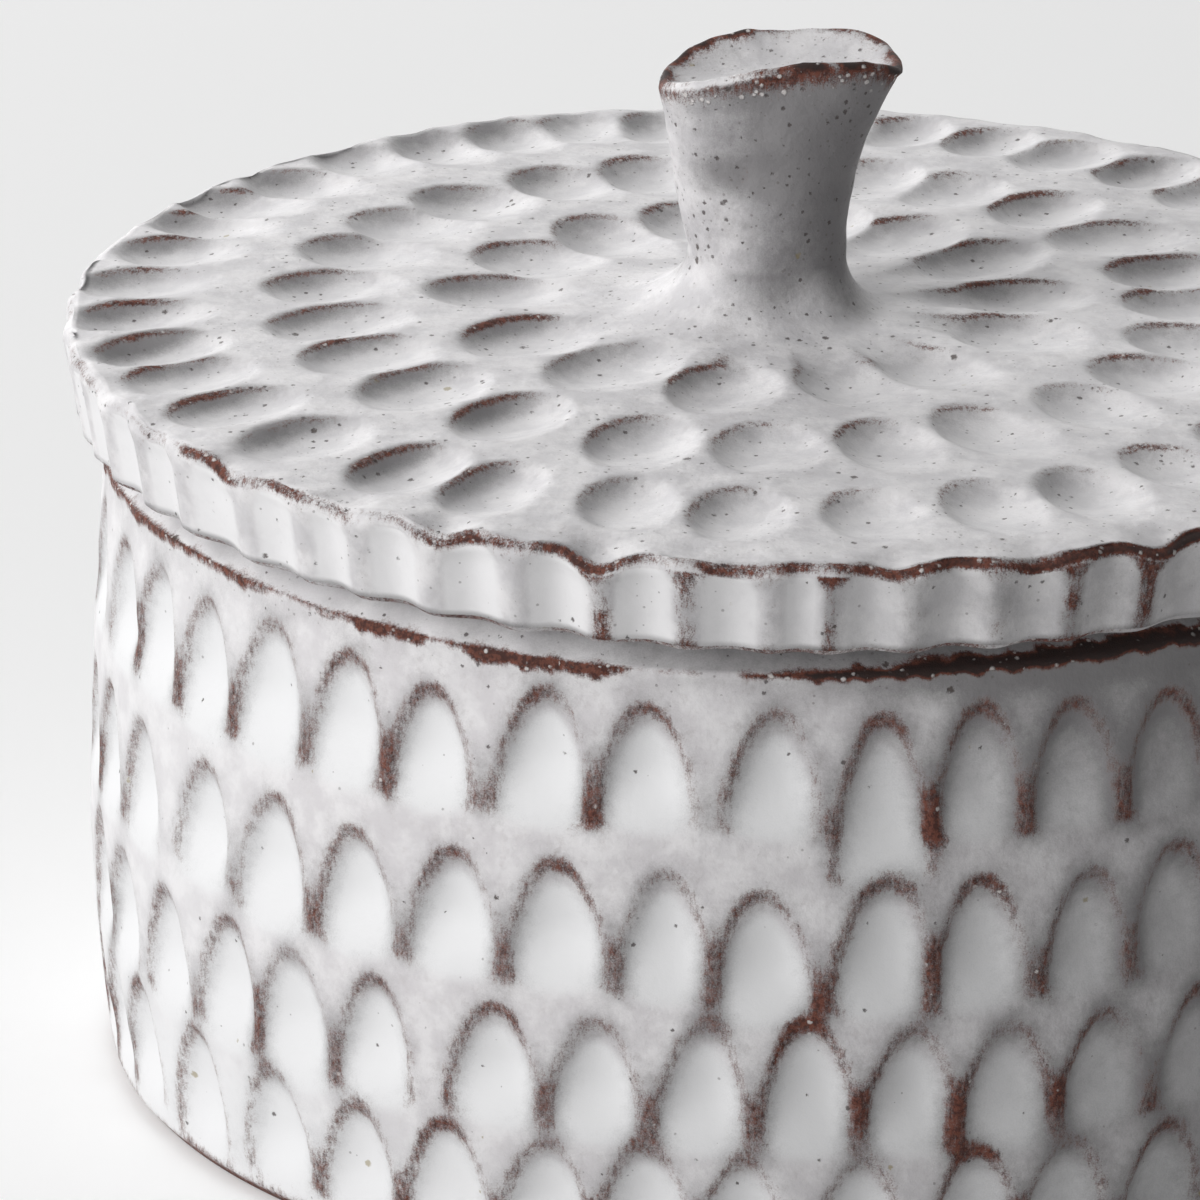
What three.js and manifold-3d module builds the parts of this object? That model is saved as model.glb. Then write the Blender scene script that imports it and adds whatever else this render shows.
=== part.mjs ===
// A round lidded ceramic box: a carved pot and a loose carved lid with a pinched knob.
// Millimetres, +Z up. The origin is the centre of the underside, and angle 0 faces the front, -Y.
import * as THREE from "three";
import { ConvexGeometry } from "three/addons/geometries/ConvexGeometry.js";
import { mergeVertices } from "three/addons/utils/BufferGeometryUtils.js";
import Module from "manifold-3d";

const wasm = await Module();
wasm.setup();

// Pot
const SEAT_HEIGHT = 70; // level of the flat top of the rim, which the lid sits on
const SEAT_WIDTH = 2.6;
const RIM_DROP = 3; // how far the outer edge of the rim lies below its seat
const RIM_RADIUS = 70.3; // outer edge of the rim
const RIM_WAVE = 0.45; // how far the hand-cut rim edge rises and falls
const BELLY_RADIUS = 71.7; // the widest part of the wall
const BELLY_HEIGHT = 33;
const FOOT_RADIUS = 69.2;
const FOOT_BEVEL = 1.6; // worn corner where the wall meets the table
const WALL_THICKNESS = 6.4;
const MOUTH_RADIUS = 64.3;
const MOUTH_DEPTH = 8; // the mouth is upright for this far down, and then follows the wall
const FLOOR_THICKNESS = 7;
const FLOOR_FILLET = 5; // inner corner between wall and floor
const FOOT_RING_WIDTH = 9; // the ring under the floor that touches the table
const FOOT_RECESS = 1.2; // hollow inside that ring

// Lid
const LID_OVERHANG = 4.7; // how far the lid's top edge stands out past the rim
const LID_EDGE = 10; // thickness of the lid at its edge
const LID_UNDERCUT = 1.8; // the edge slopes in by this much towards its underside
const LID_CORNER = 0.8; // softened corner at the lid's top edge
const LID_DOME = 2; // rise from the edge to the middle
const RING_DEPTH = 6; // locating ring under the lid
const RING_WIDTH = 4.6;
const RING_CHAMFER = 1;
const MOUTH_CLEARANCE = 1.1; // radial play of the locating ring in the mouth

// Knob
const KNOB_HEIGHT = 28.4; // from the lid to the highest part of its lip
const KNOB_WAIST_RADIUS = 8.1;
const KNOB_WAIST_HEIGHT = 6;
const KNOB_FOOT_RADIUS = 13.4; // where its foot runs out on the lid
const KNOB_LEFT_FLARE = 3; // how far the lip stands out past the waist
const KNOB_RIGHT_FLARE = 5.6;
const KNOB_BACK_FLARE = 1.2;
const KNOB_FRONT_FLARE = 0.3;
const KNOB_LIP = 1.2; // rounded edge of the lip
const KNOB_LIP_DIP = 2.1; // the lip is this much lower at its left and right ends
const KNOB_DISH = 2.8; // hollow in its top
const KNOB_OFFSET_X = -2.2; // the knob sits a little off the centre of the lid
const KNOB_OFFSET_Y = 0;

// Scooped cuts in the wall, in rows that close up towards the foot, top row first
const ROWS = [
  { count: 41, turn: -1.39, seed: 5228, spread: 0.14, longer: { 1: 4.6 } },
  { count: 40, turn: -1.07, seed: 26045, spread: 0.22, longer: { 0: 1.6, 1: 1.2, 2: 0.8 } },
  { count: 40, turn: 2.52, seed: 12052, spread: 0.22, longer: {} },
  { count: 40, turn: -1.68, seed: 16873, spread: 0.22, longer: {} },
];
const ROW_SHRINK = 0.9; // each step down is this share of the one above
const TOP_BAND = 4.3; // plain wall above the top row
const FOOT_BAND = 2.3; // plain wall below the bottom row
const CUT_WIDTH = 9.9;
const CUT_HEIGHT = 13.6;
const CUT_DEPTH = 1.4;
const CUT_TAPER = 0.22; // a cut is narrower at its head by this share
const CUT_FLOOR = 0.55; // the floor of a cut, as a share of its outline
const CUT_TAIL = 0.75; // depth of that floor's tail, as a share of its head's

// Scooped cuts in the top of the lid, in three rings about the knob, the outer one nearer the middle
const LID_RINGS = [
  { count: 38, turn: -9.07, seed: 78968, drift: 9.36, phase: 24.7, radius: 63.8, length: 14.6, width: 9 },
  { count: 24, turn: 0.1, seed: 22661, drift: 4.55, phase: 11.6, radius: 44.9, length: 15, width: 10.6 },
  { count: 14, turn: -9.19, seed: 78115, drift: 4.62, phase: 14.5, radius: 27, length: 15.4, width: 10.8 },
];
const RING_SPREAD = 0.16;
const OUTER_RING_SHIFT_Y = 1.6;
const LID_CUT_DEPTH = 1.5;
const LID_CUT_TAPER = 0.08;

// Upright hollows pressed into the lid's edge
const FLUTE_COUNT = 56;
const FLUTE_TURN = -2.04;
const FLUTE_SEED = 20245;
const FLUTE_SPREAD = 0.24;
const FLUTE_RADIUS = 8;
const FLUTE_DEPTH = 0.8;

// Facets
const TURNS = 60; // sides of every round body
const WALL_LEVELS = 3;
const DOME_LEVELS = 2;
const SCOOP_FLOOR_CORNERS = 4;
const SCOOP_BRIM_CORNERS = 6;
const BAR_SIDES = 16;
const KNOB_SIDES = 24;

const RIM_EDGE_HEIGHT = SEAT_HEIGHT - RIM_DROP;
const LID_EDGE_TOP = SEAT_HEIGHT + LID_EDGE;
const LID_RADIUS = RIM_RADIUS + LID_OVERHANG;
const KNOB_SEAT = LID_EDGE_TOP + LID_DOME;
const KNOB_PAD_RADIUS = KNOB_FOOT_RADIUS + Math.hypot(KNOB_OFFSET_X, KNOB_OFFSET_Y);

const radians = THREE.MathUtils.degToRad;
const mix = THREE.MathUtils.lerp;

// The same number from -1 to 1 for the same seed, for the unevenness of hand work.
function uneven(seed) {
  const s = Math.sin(seed * 12.9898) * 43758.5453;
  return 2 * (s - Math.floor(s)) - 1;
}

// Which way one mark of a row or ring faces, in degrees from the front. Hand spacing strays by up to
// the spread, in steps, and can drift, so that the marks stand closer on one side than on the other.
function markAngle({ count, turn, seed, spread, drift = 0, phase = 0 }, i) {
  const step = 360 / count;
  return turn + step * (i + spread * uneven(seed + i)) + drift * Math.sin(radians(step * i - phase));
}

// A point at a radius, an angle in radians from the front, and a height.
function around(radius, angle, z) {
  return new THREE.Vector3(radius * Math.sin(angle), -radius * Math.cos(angle), z);
}

// Outer radius of the pot's wall before it is carved.
function wallRadius(z) {
  if (z < BELLY_HEIGHT) {
    const t = 1 - z / BELLY_HEIGHT;
    return BELLY_RADIUS - (BELLY_RADIUS - FOOT_RADIUS) * t * t;
  }
  const t = (z - BELLY_HEIGHT) / (RIM_EDGE_HEIGHT - BELLY_HEIGHT);
  return BELLY_RADIUS - (BELLY_RADIUS - RIM_RADIUS) * t * t;
}

// Height of the lid's top before it is carved: flat under the knob, then falling to the edge.
function lidTop(radius) {
  const t = Math.max(0, (radius - KNOB_PAD_RADIUS) / (LID_RADIUS - KNOB_PAD_RADIUS));
  return LID_EDGE_TOP + LID_DOME * (1 - t * t);
}

function slopeOf(curve, at) {
  return curve(at + 0.5) - curve(at - 0.5);
}

// Merges a closed geometry's shared corners, and turns its faces outwards.
function facingOut(geometry) {
  const bare = new THREE.BufferGeometry();
  bare.setAttribute("position", geometry.getAttribute("position"));
  bare.setIndex(geometry.index);
  const merged = mergeVertices(bare, 1e-4);
  const position = merged.getAttribute("position");
  const index = merged.index.array;
  const corner = (i) => new THREE.Vector3().fromBufferAttribute(position, index[i]);
  let volume = 0;
  for (let i = 0; i < index.length; i += 3) volume += corner(i).dot(corner(i + 1).cross(corner(i + 2)));
  for (let i = 0; volume < 0 && i < index.length; i += 3) {
    [index[i], index[i + 1]] = [index[i + 1], index[i]];
  }
  return merged;
}

// A body of revolution about Z from a profile of [radius, height] points.
function turned(profile) {
  const points = profile.map(([radius, z]) => new THREE.Vector2(radius, z));
  const geometry = new THREE.LatheGeometry(points, TURNS);
  geometry.rotateX(Math.PI / 2);
  return facingOut(geometry);
}

// A closed body through rings of points, all of one length, with a point closing each end.
function lofted(start, rings, end) {
  const sides = rings[0].length;
  const positions = [start, ...rings.flat(), end].flatMap((point) => point.toArray());
  const last = rings.length * sides + 1;
  const index = [];
  for (let i = 0; i < sides; i++) {
    const next = (i + 1) % sides;
    index.push(0, 1 + next, 1 + i);
    for (let k = 0; k < rings.length - 1; k++) {
      const low = 1 + k * sides;
      const high = low + sides;
      index.push(low + i, low + next, high + next, low + i, high + next, high + i);
    }
    index.push(last, last - sides + i, last - sides + next);
  }
  const geometry = new THREE.BufferGeometry();
  geometry.setAttribute("position", new THREE.Float32BufferAttribute(positions, 3));
  geometry.setIndex(index);
  return facingOut(geometry);
}

function solid(geometry) {
  const vertProperties = new Float32Array(geometry.getAttribute("position").array);
  const triVerts = new Uint32Array(geometry.index.array);
  return new wasm.Manifold(new wasm.Mesh({ numProp: 3, vertProperties, triVerts }));
}

function carved(geometry, cutters) {
  let body = solid(geometry);
  for (const cutter of cutters) body = body.subtract(solid(cutter));
  const mesh = body.getMesh();
  const result = new THREE.BufferGeometry();
  result.setAttribute("position", new THREE.BufferAttribute(new Float32Array(mesh.vertProperties), 3));
  result.setIndex(new THREE.BufferAttribute(new Uint32Array(mesh.triVerts), 1));
  result.computeVertexNormals();
  return result;
}

// One stroke of a loop tool, drawn flat: across along X, its head towards +Y, and Z out of the clay.
// Its floor is a tilted facet, deepest near the head, and its sides widen on above the surface.
function scoop(width, length, depth, taper) {
  const ring = (count, share, levelAt) => {
    const points = [];
    for (let i = 0; i < count; i++) {
      const angle = (2 * Math.PI * (i + 0.5)) / count;
      const along = Math.cos(angle);
      const x = (share * Math.sin(angle) * (1 - taper * along) * width) / 2;
      points.push(new THREE.Vector3(x, (share * along * length) / 2, levelAt(along)));
    }
    return points;
  };
  const fade = (along) => mix(CUT_TAIL, 1, (1 + along) / 2);
  const floor = ring(SCOOP_FLOOR_CORNERS, CUT_FLOOR, (along) => -depth * fade(along));
  const brim = ring(SCOOP_BRIM_CORNERS, 2 - CUT_FLOOR, () => depth);
  return facingOut(new ConvexGeometry([...floor, ...brim]));
}

// Levels of the rows of cuts, from the top row down.
function rowLevels() {
  const top = RIM_EDGE_HEIGHT - TOP_BAND - CUT_HEIGHT / 2;
  const bottom = FOOT_BAND + CUT_HEIGHT / 2;
  const steps = ROWS.slice(1).map((_, k) => ROW_SHRINK ** k);
  const unit = (top - bottom) / steps.reduce((sum, step) => sum + step, 0);
  const levels = [top];
  for (const step of steps) levels.push(levels.at(-1) - step * unit);
  return levels;
}

function wallCuts() {
  const cuts = [];
  rowLevels().forEach((level, k) => {
    const row = ROWS[k];
    for (let i = 0; i < row.count; i++) {
      const seed = row.seed + i;
      const angle = radians(markAngle(row, i));
      const extra = row.longer[i] ?? 0;
      const z = level + 0.6 * uneven(seed + 0.2) - extra / 2;
      const width = CUT_WIDTH * (1 + 0.07 * uneven(seed + 0.6));
      const length = CUT_HEIGHT * (1 + 0.07 * uneven(seed + 0.8)) + extra;
      const cut = scoop(width, length, CUT_DEPTH, CUT_TAPER);
      cut.rotateZ(radians(4 * uneven(seed + 0.4)));
      cut.rotateX(Math.PI / 2 + Math.atan(slopeOf(wallRadius, z)));
      cut.rotateZ(angle);
      const place = around(wallRadius(z), angle, z);
      cuts.push(cut.translate(place.x, place.y, place.z));
    }
  });
  return cuts;
}

function lidCuts() {
  const cuts = [];
  for (const ring of LID_RINGS) {
    for (let i = 0; i < ring.count; i++) {
      const seed = ring.seed + i;
      const angle = radians(markAngle({ ...ring, spread: RING_SPREAD }, i));
      const radius = ring.radius + 0.8 * uneven(seed + 0.2);
      const width = ring.width * (1 + 0.06 * uneven(seed + 0.6));
      const length = ring.length * (1 + 0.07 * uneven(seed + 0.8));
      const cut = scoop(width, length, LID_CUT_DEPTH, LID_CUT_TAPER);
      cut.rotateZ(radians(9 * uneven(seed + 0.4)));
      cut.rotateX(-Math.atan(slopeOf(lidTop, radius)));
      cut.rotateZ(angle);
      const place = around(radius, angle, 0);
      place.x += KNOB_OFFSET_X;
      place.y += KNOB_OFFSET_Y + (ring === LID_RINGS[0] ? OUTER_RING_SHIFT_Y : 0);
      cuts.push(cut.translate(place.x, place.y, lidTop(Math.hypot(place.x, place.y))));
    }
  }
  return cuts;
}

// Round bars, sloped like the edge, that press the flutes into it.
function fluteBars() {
  const bars = [];
  const slope = Math.atan2(LID_UNDERCUT, LID_EDGE);
  const ridges = { count: FLUTE_COUNT, turn: FLUTE_TURN, seed: FLUTE_SEED, spread: FLUTE_SPREAD };
  for (let i = 0; i < FLUTE_COUNT; i++) {
    const angle = radians((markAngle(ridges, i) + markAngle(ridges, i + 1)) / 2);
    const depth = FLUTE_DEPTH * (1 + 0.35 * uneven(FLUTE_SEED + 0.5 + i));
    const bar = new THREE.CylinderGeometry(FLUTE_RADIUS, FLUTE_RADIUS, 2 * LID_EDGE, BAR_SIDES);
    bar.rotateX(Math.PI / 2 + slope);
    bar.rotateZ(angle);
    const place = around(LID_RADIUS - LID_UNDERCUT / 2 + FLUTE_RADIUS - depth, angle, 0);
    bar.translate(place.x, place.y, SEAT_HEIGHT + LID_EDGE / 2);
    bars.push(facingOut(bar));
  }
  return bars;
}

function floorSlab() {
  const footEdge = FOOT_RADIUS - FOOT_BEVEL;
  const ringInner = footEdge - FOOT_RING_WIDTH;
  return turned([
    [0, FOOT_RECESS],
    [ringInner - FOOT_RECESS, FOOT_RECESS],
    [ringInner, 0],
    [footEdge, 0],
    [wallRadius(FOOT_BEVEL), FOOT_BEVEL],
    [wallRadius(FLOOR_THICKNESS), FLOOR_THICKNESS],
    [0, FLOOR_THICKNESS],
  ]);
}

function potWall() {
  const profile = [];
  for (let i = 0; i <= WALL_LEVELS; i++) {
    const z = mix(FLOOR_THICKNESS, RIM_EDGE_HEIGHT, i / WALL_LEVELS);
    profile.push([wallRadius(z), z]);
  }
  const filletTop = FLOOR_THICKNESS + FLOOR_FILLET;
  const filletRadius = wallRadius(filletTop) - WALL_THICKNESS;
  const bend = FLOOR_FILLET * (1 - Math.SQRT1_2);
  profile.push([MOUTH_RADIUS + SEAT_WIDTH, SEAT_HEIGHT]);
  profile.push([MOUTH_RADIUS, SEAT_HEIGHT]);
  profile.push([MOUTH_RADIUS, SEAT_HEIGHT - MOUTH_DEPTH]);
  profile.push([BELLY_RADIUS - WALL_THICKNESS, BELLY_HEIGHT]);
  profile.push([filletRadius, filletTop]);
  profile.push([filletRadius - bend, FLOOR_THICKNESS + bend]);
  profile.push([filletRadius - FLOOR_FILLET, FLOOR_THICKNESS]);
  profile.push(profile[0]);
  return wavedRim(turned(profile));
}

// Raises and lowers the outer edge of the rim, as a knife leaves it.
function wavedRim(geometry) {
  const position = geometry.getAttribute("position");
  for (let i = 0; i < position.count; i++) {
    const outer = Math.hypot(position.getX(i), position.getY(i)) > MOUTH_RADIUS + SEAT_WIDTH + 0.01;
    if (!outer || position.getZ(i) < RIM_EDGE_HEIGHT - 0.01) continue;
    const angle = Math.atan2(position.getX(i), -position.getY(i));
    const wave = Math.sin(angle + 0.6) + 0.5 * Math.sin(5 * angle);
    position.setZ(i, RIM_EDGE_HEIGHT + RIM_WAVE * wave);
  }
  return geometry;
}

function lidPlate() {
  const profile = [[0, SEAT_HEIGHT]];
  profile.push([LID_RADIUS - LID_UNDERCUT, SEAT_HEIGHT]);
  profile.push([LID_RADIUS, LID_EDGE_TOP - LID_CORNER]);
  for (let i = DOME_LEVELS; i >= 0; i--) {
    const radius = mix(KNOB_PAD_RADIUS, LID_RADIUS - LID_CORNER, i / DOME_LEVELS);
    profile.push([radius, lidTop(radius)]);
  }
  profile.push([0, KNOB_SEAT]);
  return turned(profile);
}

function locatingRing() {
  const outer = MOUTH_RADIUS - MOUTH_CLEARANCE;
  const inner = outer - RING_WIDTH;
  const low = SEAT_HEIGHT - RING_DEPTH;
  return turned([
    [inner, low],
    [outer - RING_CHAMFER, low],
    [outer, low + RING_CHAMFER],
    [outer, SEAT_HEIGHT],
    [inner, SEAT_HEIGHT],
    [inner, low],
  ]);
}

// One level of the knob. It reaches out by its own amount to each side.
function knobRing(left, right, front, back, height, dip) {
  const points = [];
  for (let i = 0; i < KNOB_SIDES; i++) {
    const angle = (2 * Math.PI * i) / KNOB_SIDES;
    const x = Math.cos(angle) * (Math.cos(angle) > 0 ? right : left);
    const y = Math.sin(angle) * (Math.sin(angle) > 0 ? back : front);
    const z = height - dip * Math.cos(angle) ** 2;
    points.push(new THREE.Vector3(KNOB_OFFSET_X + x, KNOB_OFFSET_Y + y, KNOB_SEAT + z));
  }
  return points;
}

// The knob is a stack of oval rings: a flared foot, a waist, and a lip pulled out to the right.
function pinchedKnob() {
  const rings = [];
  for (const t of [0, 0.06, 0.18, 0.38, 0.68]) {
    const radius = mix(KNOB_WAIST_RADIUS, KNOB_FOOT_RADIUS, (1 - t) ** 3);
    rings.push(knobRing(radius, radius, radius, radius, t * KNOB_WAIST_HEIGHT, 0));
  }
  const neck = (t, height, inset) => {
    const left = KNOB_WAIST_RADIUS + KNOB_LEFT_FLARE * t - inset;
    const right = KNOB_WAIST_RADIUS + KNOB_RIGHT_FLARE * t ** 2.2 - inset;
    const front = KNOB_WAIST_RADIUS + KNOB_FRONT_FLARE * t ** 2 - inset;
    const back = KNOB_WAIST_RADIUS + KNOB_BACK_FLARE * t ** 2 - inset;
    return knobRing(left, right, front, back, height, KNOB_LIP_DIP * t ** 2);
  };
  for (const t of [0, 0.35, 0.65, 0.85, 1]) {
    rings.push(neck(t, mix(KNOB_WAIST_HEIGHT, KNOB_HEIGHT - KNOB_LIP, t), 0));
  }
  rings.push(neck(1, KNOB_HEIGHT, KNOB_LIP));
  const edge = KNOB_WAIST_RADIUS * 0.55;
  rings.push(knobRing(edge, edge, edge, edge, KNOB_HEIGHT - 0.75 * KNOB_DISH, 0.3 * KNOB_LIP_DIP));
  const centre = (z) => new THREE.Vector3(KNOB_OFFSET_X, KNOB_OFFSET_Y, KNOB_SEAT + z);
  return lofted(centre(0), rings, centre(KNOB_HEIGHT - KNOB_DISH));
}

const glaze = { color: 0xdedcda, roughness: 0.35, metalness: 0 };
const bareClay = { color: 0x6b4436, roughness: 0.85, metalness: 0 };

function piece(name, geometry, finish) {
  const mesh = new THREE.Mesh(geometry, new THREE.MeshStandardMaterial(finish));
  mesh.name = name;
  return mesh;
}

const pot = new THREE.Group();
const cuts = wallCuts();
pot.add(piece("floor_slab", carved(floorSlab(), cuts), glaze));
pot.add(piece("pot_wall", carved(potWall(), cuts), glaze));

const lid = new THREE.Group();
lid.add(piece("lid_plate", carved(lidPlate(), [...lidCuts(), ...fluteBars()]), glaze));
lid.add(piece("locating_ring", locatingRing(), bareClay));
lid.add(piece("knob", pinchedKnob(), glaze));

const box = new THREE.Group();
box.add(pot, lid);

export default box;
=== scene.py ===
import math

import bpy
import numpy as np
from mathutils import Matrix, Vector


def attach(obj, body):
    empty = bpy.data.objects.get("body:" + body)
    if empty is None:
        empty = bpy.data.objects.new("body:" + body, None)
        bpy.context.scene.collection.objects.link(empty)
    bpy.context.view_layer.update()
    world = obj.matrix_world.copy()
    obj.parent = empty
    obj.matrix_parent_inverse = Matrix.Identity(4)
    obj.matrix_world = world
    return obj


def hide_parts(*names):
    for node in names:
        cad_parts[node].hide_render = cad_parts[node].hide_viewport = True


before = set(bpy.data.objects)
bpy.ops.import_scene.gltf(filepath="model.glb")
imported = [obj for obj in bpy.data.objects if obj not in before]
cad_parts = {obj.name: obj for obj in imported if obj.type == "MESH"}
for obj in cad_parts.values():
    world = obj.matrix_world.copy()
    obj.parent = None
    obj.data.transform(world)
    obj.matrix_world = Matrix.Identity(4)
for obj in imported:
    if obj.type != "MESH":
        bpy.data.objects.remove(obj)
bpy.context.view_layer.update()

# Sizes of the pot in mm, the same as in the part's source.
SEAT_HEIGHT = 70
SEAT_WIDTH = 2.6
RIM_DROP = 3
RIM_RADIUS = 70.3
RIM_WAVE = 0.45
BELLY_RADIUS = 71.7
BELLY_HEIGHT = 33
FOOT_RADIUS = 69.2
FOOT_BEVEL = 1.6
WALL_THICKNESS = 6.4
MOUTH_RADIUS = 64.3
MOUTH_DEPTH = 8
FLOOR_THICKNESS = 7
FLOOR_FILLET = 5
FOOT_RING_WIDTH = 9
FOOT_RECESS = 1.2

# Sizes of the lid and the ring under it, the same as in the part's source.
LID_OVERHANG = 4.7
LID_EDGE = 10
LID_UNDERCUT = 1.8
LID_DOME = 2
RING_DEPTH = 6
RING_WIDTH = 4.6
RING_CHAMFER = 1
MOUTH_CLEARANCE = 1.1

# Sizes of the knob. Its left flare and its dish are a little larger than in the part's source.
KNOB_CENTRE = (-2.2, 0)
KNOB_HEIGHT = 28.4
KNOB_WAIST_RADIUS = 8.1
KNOB_WAIST_HEIGHT = 6
KNOB_FOOT_RADIUS = 13.4
KNOB_LEFT_FLARE = 3.9
KNOB_RIGHT_FLARE = 5.6
KNOB_BACK_FLARE = 1.2
KNOB_FRONT_FLARE = 0.3
LIP_HEIGHT = 27.5
DISH_DEPTH = 3.8

# Sizes worked out from those.
RIM_EDGE_HEIGHT = SEAT_HEIGHT - RIM_DROP
LID_RADIUS = RIM_RADIUS + LID_OVERHANG
LID_EDGE_TOP = SEAT_HEIGHT + LID_EDGE
KNOB_SEAT = LID_EDGE_TOP + LID_DOME
KNOB_PAD_RADIUS = KNOB_FOOT_RADIUS + math.hypot(*KNOB_CENTRE)
DISH_FLOOR = KNOB_HEIGHT - 0.5 - DISH_DEPTH

# Cuts in the wall: rows from the top, each with the degrees from the front to its first cut, the height
# of its cuts' middles in mm, and the cuts that are longer than the others, by how many mm.
CUT_ROWS = [
    {"count": 41, "turn": -1.39, "seed": 5228, "spread": 0.14, "level": 55.9, "longer": {1: 4.6}},
    {"count": 40, "turn": -1.07, "seed": 26045, "spread": 0.22, "level": 38.63,
     "longer": {0: 1.6, 1: 1.2, 2: 0.8}},
    {"count": 40, "turn": 2.52, "seed": 12052, "spread": 0.22, "level": 23.1, "longer": {}},
    {"count": 40, "turn": -1.68, "seed": 16873, "spread": 0.22, "level": 9.1, "longer": {}},
]
CUT_WIDTH = 10
CUT_HEIGHT = 14.4
CUT_DEPTH = 1.8
CUT_LEAN = 4
# How far down a cut is widest, as a share of its height.
CUT_WIDEST = 0.83
# Cuts closer together than this many degrees move apart.
CUT_GAP = 7.9

# Scoops in the lid: rings from the edge inwards.
LID_RINGS = [
    {"count": 38, "turn": -9.07, "seed": 78968, "drift": 9.36, "phase": 24.7, "centre": (-2.2, 1.6),
     "radius": 63.8, "length": 15, "width": 10},
    {"count": 24, "turn": 0.1, "seed": 22661, "drift": 4.55, "phase": 11.6, "centre": (-2.2, 0),
     "radius": 44.9, "length": 15.6, "width": 11.2},
    {"count": 14, "turn": -9.19, "seed": 78115, "drift": 4.62, "phase": 14.5, "centre": (-2.2, 0),
     "radius": 27, "length": 15.8, "width": 11.4},
]
RING_SPREAD = 0.14
SCOOP_DEPTH = 2.1
SCOOP_LEAN = 9
STEEP_SIDE = (-0.6, 0.8)

# Troughs that take the outer scoops over the edge: their depth and width in mm, and how far out their
# middles lie, as a share of the lid's radius.
EDGE_DIP = 1.0
TROUGH_WIDTH = 2.6
TROUGH_PLACE = 0.973

# Flutes round the lid's edge.
FLUTE_COUNT = 56
FLUTE_TURN = -2.04
FLUTE_SEED = 20245
FLUTE_SPREAD = 0.24
FLUTE_DEPTH = 1.3
# A flute of this many degrees has that depth, and a wider one is deeper.
FLUTE_WIDTH = 6.4

# Rings along edges that the glaze has left bare: how far in and down they lie in mm, and how bare they are.
LIP_RINGS = [(1.3, 0.4, 0.6), (0.95, 0.12, 1), (0.6, 0, 1.2), (0.25, 0.15, 1.3), (0.03, 0.55, 1.2)]
LID_CORNER_RINGS = [(0.9, 0.05, 0.9), (0.5, 0.2, 1.1), (0.25, 0.55, 1.1), (0.15, 1, 0.6)]

# Brown clay along the rim: angle from the front in degrees, width of the band in mm, and how dark it is; the
# darkest values, on the right, also paint the shadow that the lid casts there.
RIM_WEAR_AND_SHADOW = [
    (-180, 0.7, 1.0), (-100, 0.9, 1.1), (-78, 1.0, 1.1), (-52, 1.1, 1.15), (-46, 0.6, 0.9),
    (-38, 0.6, 0.9), (-36, 1.4, 1.3), (-31, 1.3, 1.25), (-28, 0.4, 0.9), (-25, 1.5, 1.3),
    (-14, 1.2, 1.25), (-10, 0.3, 0.8), (-4, 0, 0.8), (0, 0.4, 1.4), (4, 0.4, 2.0),
    (10, 0.4, 2.4), (25, 0.4, 2.4), (60, 0.6, 1.8), (120, 0.7, 1.2), (180, 0.7, 1.0),
]

# How finely the surfaces are built.
AROUND = 720
KNOB_AROUND = 240
RING_AROUND = 240
WALL_ROWS = 98
LID_ROWS = 80
MM = 0.001

# The flat grids that hold the carving, in mm: their step, their reach, and that of each kind of mark.
MAP_STEP = 0.25
WALL_MAP = (-4, 74)
LID_MAP = (-80, 80)
CUT_REACH = 13
SCOOP_REACH = 10
TROUGH_REACH = 9

# Values that each point of the pot and the lid carries for its glaze: brown clay showing through, which also
# paints the lid's shadow on the rim; grey, from thin glaze and painted shade; thick white glaze, made
# lighter and darker on the wall as painted light and shade; and dark specks.
MARKS = ("wear", "thin_and_shade", "pool_and_light", "speck")

# Colours of the glaze: two tones of the field, dull patches in it, and where it pools, which on the pot's
# wall also stands for painted light.
POT_WHITE = {"field": ("d3d0d2", "e5e3e4"), "dull": "c0b9b9", "pooled": "e6e6e7"}
LID_WHITE = {"field": ("cccacc", "e2e0e1"), "dull": "bab5b5", "pooled": "e8e7e8"}
# Grey for thin glaze, also used for painted shade.
GREY_GLAZE_AND_SHADE = "767475"
BUBBLE_WHITE = "e4dfdd"
OCHRE = "98895a"

# How finely the brown clay is broken up by white grains.
POT_GRIT = 0.75
LID_GRIT = 1.1

# Colours of the clay: under the glaze from its faint edge to near black, which on the rim's right also
# paints the lid's contact shadow, and bare.
CLAY_FAINT = "8d6c64"
CLAY_BROWN = ("44221a", "734234")
CLAY_DARKEST_AND_SHADOW = "180a07"
CLAY_BARE = ("6b4436", "7d5444")
CLAY_GRIT = "3f2820"

# Dark specks: size of the cell that holds one and its radius in mm, the share of cells that have one,
# how far it is bent out of round in mm, and how strongly it shows.
SPECKS = {
    "dust": {"cell": 0.7, "radius": 0.18, "share": 0.6, "bend": 0.1, "strength": 0.45, "colour": "5d5452"},
    "fine": {"cell": 1.35, "radius": 0.27, "share": 1, "bend": 0.4, "strength": 0.82, "colour": "453b39"},
    "large": {"cell": 3.4, "radius": 0.42, "share": 0.7, "bend": 0.6, "strength": 0.85, "colour": "40342f"},
}

# The camera, in mm and degrees: its distance from the lid's middle and its rise above the level,
# then how far it is turned off that middle.
SENSOR_WIDTH = 36
PHOTO_WIDTH = 1200
FOCAL_PIXELS = 11498
CAMERA_DISTANCE = 1187.9
CAMERA_RISE = 18.53
CAMERA_YAW = -0.9
CAMERA_PITCH = -1.41
CAMERA_ROLL = 1.41

# Lamps: degrees round from the front, degrees up, and watts. Their sizes and distances are in metres.
LAMPS = [
    (-150, 20, 13.5), (-110, 14, 2), (-60, 35, 22), (-100, 60, 3),
    (165, 30, 5), (-42, 6, 10), (60, 65, 1),
]
LAMP_SIZE = 1.3
LAMP_DISTANCE = 1.8
LAMP_TARGET = (0, 0, 0.05)

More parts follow.
